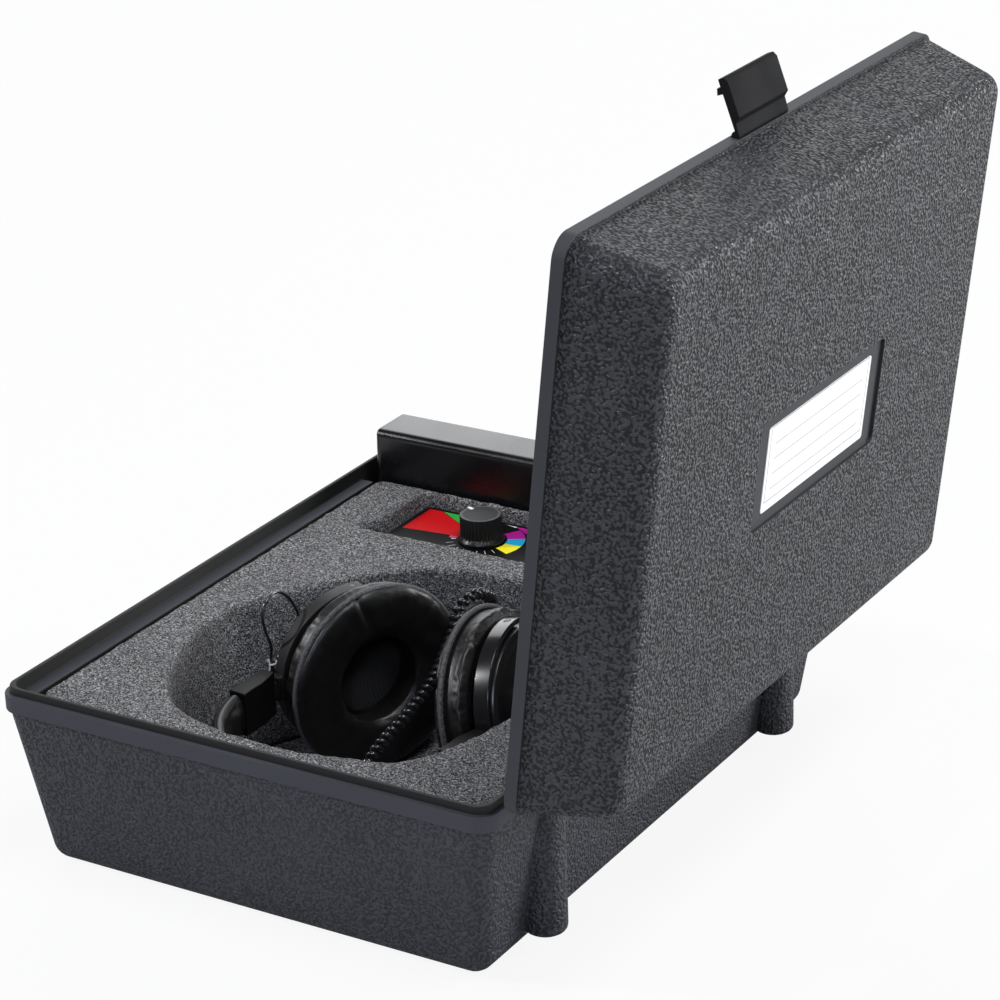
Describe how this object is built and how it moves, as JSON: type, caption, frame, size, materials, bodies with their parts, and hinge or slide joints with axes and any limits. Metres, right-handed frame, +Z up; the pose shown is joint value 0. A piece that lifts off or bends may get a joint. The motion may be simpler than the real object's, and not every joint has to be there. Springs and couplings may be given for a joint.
{
  "type": "listening tester set in a carrying case",
  "caption": "Open moulded carrying case with foam that holds large headphones on a curly cord and a small control box with a colour-coded selector.",
  "frame": {"origin": "middle of the base's underside, on the surface the case stands on", "axes": "+X along the hinge away from the carrying handle, +Y towards the hinge side, +Z up"},
  "size_m": [0.334, 0.3447, 0.3727],
  "materials": {
    "case_plastic": "grained moulding",
    "housing_plastic": "smooth satin moulding",
    "handle_plastic": "satin",
    "label": "satin film",
    "foam": "open-cell foam",
    "unit_plastic": "fine satin",
    "dial": "printed, clear coat",
    "knob": "satin gloss",
    "knob_cap": "satin",
    "pointer": "smooth",
    "board": "solder mask",
    "battery": "smooth",
    "vinyl": "soft leatherette",
    "cloth": "open weave",
    "cord": "satin",
    "plug": "satin",
    "tie": "smooth",
    "gloss_black": "gloss",
    "band_plastic": "satin",
    "cup_plastic": "satin",
    "driver": "smooth",
    "steel": "plated"
  },
  "bodies": {
    "case": {"base_shell": "case_plastic", "hinge_pins": "steel", "handle_housing": "housing_plastic", "handle_pins": "steel", "foam_sheet": "foam", "foam_insert": "foam", "unit_base": "unit_plastic", "unit_cover": "unit_plastic", "dial_plate": "dial", "selector_switch": "unit_plastic", "switch_nut": "steel", "circuit_board": "board", "battery": "battery", "battery_door": "unit_plastic", "headphone_socket": "unit_plastic", "unit_screws": "steel", "headband_steel": "steel", "headband_pad": "vinyl", "band_end_left": "band_plastic", "band_end_right": "band_plastic", "curly_cord": "cord", "cord_tail": "cord", "jack_plug": "plug", "cross_lead": "cord", "wire_tie": "tie"},
    "lid": {"lid_shell": "case_plastic", "lid_label": "label", "lid_foam": "foam"},
    "latch": {"latch_strap": "case_plastic"},
    "handle": {"carry_handle": "handle_plastic"},
    "selector": {"selector_knob": "knob", "knob_cap": "knob_cap", "knob_pointer": "pointer", "switch_shaft": "steel"},
    "arm_left": {"slider_left": "steel", "fork_left": "gloss_black", "pivot_pins_left": "steel"},
    "arm_right": {"slider_right": "steel", "fork_right": "gloss_black", "pivot_pins_right": "steel"},
    "cup_left": {"cup_shell_left": "cup_plastic", "cup_baffle_left": "cup_plastic", "driver_left": "driver", "pad_cloth_left": "cloth", "ear_pad_left": "vinyl", "cord_relief": "cord"},
    "cup_right": {"cup_shell_right": "cup_plastic", "cup_baffle_right": "cup_plastic", "driver_right": "driver", "pad_cloth_right": "cloth", "ear_pad_right": "vinyl"}
  },
  "joints": [
    {"name": "lid_hinge", "type": "hinge", "parent": "case", "child": "lid", "pos_m": [0, 0.1348, 0.0855], "axis": [1, 0, 0], "range_deg": [0, 97]},
    {"name": "latch_hinge", "type": "hinge", "parent": "lid", "child": "latch", "pos_m": [0, 0.17193, 0.34854], "axis": [1, 0, 0], "range_deg": [-40, 63]},
    {"name": "handle_swing", "type": "hinge", "parent": "case", "child": "handle", "pos_m": [-0.1505, 0, 0.0691], "axis": [0, 1, 0], "range_deg": [0, 90]},
    {"name": "selector_turn", "type": "hinge", "parent": "case", "child": "selector", "pos_m": [-0.0974, -0.034, 0.08], "axis": [0, 0, 1], "range_deg": [-170, 130]},
    {"name": "band_left_slide", "type": "slide", "parent": "case", "child": "arm_left", "axis": [-0.9986, 0.0523, 0], "range_m": [0, 0.006], "deforming": ["curly_cord", "cross_lead"]},
    {"name": "band_right_slide", "type": "slide", "parent": "case", "child": "arm_right", "axis": [-0.9986, 0.0523, 0], "range_m": [0, 0.006]},
    {"name": "cup_left_tilt", "type": "hinge", "parent": "arm_left", "child": "cup_left", "pos_m": [0.00921, -0.04014, 0.0542], "axis": [0, 0, 1], "range_deg": [-5, 8], "deforming": ["curly_cord", "cross_lead"]},
    {"name": "cup_right_tilt", "type": "hinge", "parent": "arm_right", "child": "cup_right", "pos_m": [0.01347, 0.05637, 0.05697], "axis": [-0.0109, -0.2076, 0.9781], "range_deg": [-8, 2.5]}
  ]
}
